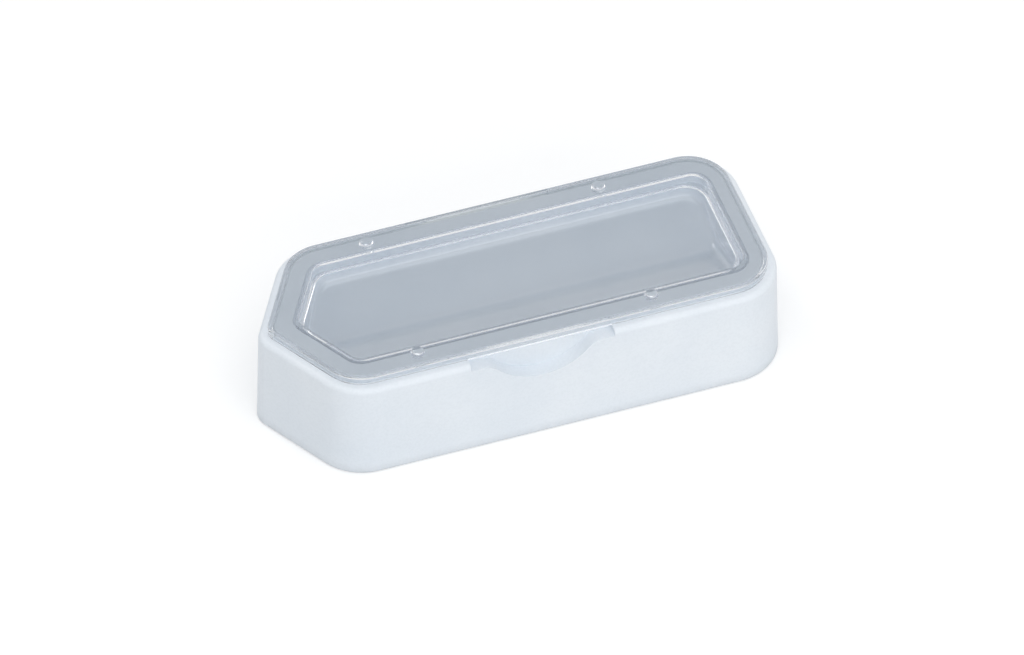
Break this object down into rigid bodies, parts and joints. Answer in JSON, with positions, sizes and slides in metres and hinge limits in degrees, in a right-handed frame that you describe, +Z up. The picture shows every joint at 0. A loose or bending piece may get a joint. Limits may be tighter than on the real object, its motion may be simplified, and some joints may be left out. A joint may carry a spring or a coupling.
{
  "type": "reagent reservoir",
  "caption": "Reagent reservoir for multichannel pipettes: a white moulded base with finger notches and a clear drop-in insert whose trough is pointed at its pouring end.",
  "frame": {"origin": "on the surface the base stands on, under the middle of its length and width", "axes": "+X along the reservoir towards its square end (the pouring tip is at -X), +Y towards the back long side, +Z up"},
  "size_m": [0.1402, 0.0578, 0.0342],
  "materials": {
    "white_base": "satin",
    "clear_insert": "gloss"
  },
  "bodies": {
    "root": {"base": "white_base", "insert": "clear_insert"}
  },
  "joints": []
}
